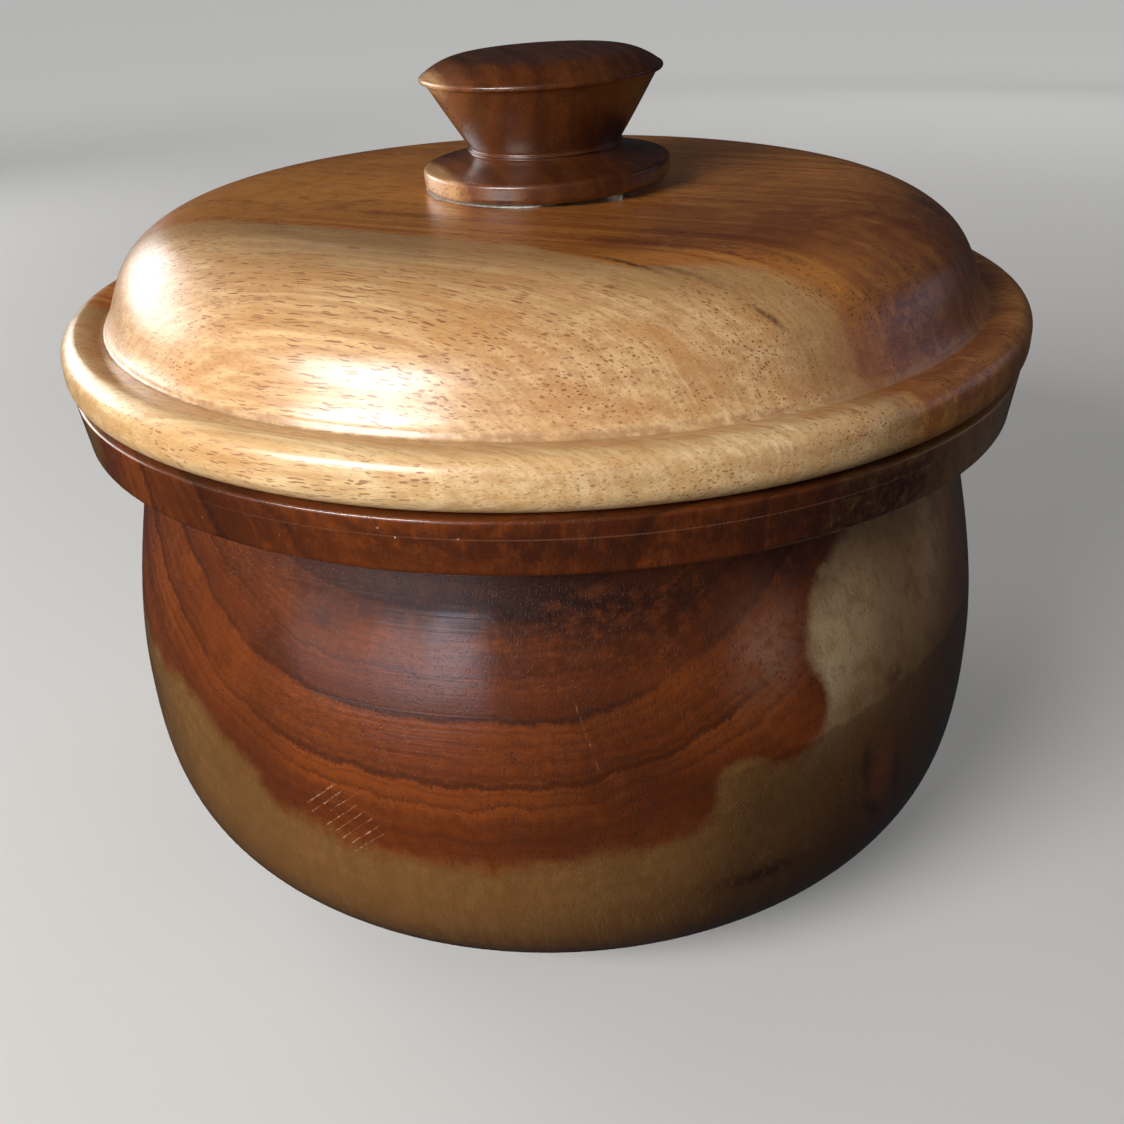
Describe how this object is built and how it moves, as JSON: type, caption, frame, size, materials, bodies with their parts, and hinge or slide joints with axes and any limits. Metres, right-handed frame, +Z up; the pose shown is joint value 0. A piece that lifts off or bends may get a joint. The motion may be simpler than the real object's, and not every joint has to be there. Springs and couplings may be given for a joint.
{
  "type": "go stone bowl",
  "caption": "Round turned wood bowl with a collared rim and a domed lift-off lid that has a waisted turned knob, for holding go stones.",
  "frame": {"origin": "centre of the bowl's foot, on the surface it stands on", "axes": "+Z up along the turning axis, through the mouth and the knob; X and Y level, with no front on a round object"},
  "size_m": [0.1508, 0.1508, 0.1277],
  "materials": {
    "bowl_wood": "satin lacquer over reddish-brown heartwood and tan sapwood",
    "lid_wood": "satin lacquer over honey sapwood and brown heartwood",
    "knob_wood": "gloss lacquer over dark reddish-brown heartwood",
    "dowel_wood": "bare pale hardwood",
    "glue": "dried grey-white wood glue"
  },
  "bodies": {
    "bowl": {"bowl": "bowl_wood"},
    "lid": {"lid": "lid_wood", "knob": "knob_wood", "knob_dowel": "dowel_wood", "glue_line": "glue"}
  },
  "joints": [
    {"name": "lid_lift", "type": "slide", "parent": "bowl", "child": "lid", "axis": [0, 0, 1], "range_m": [0, 0.12]}
  ]
}
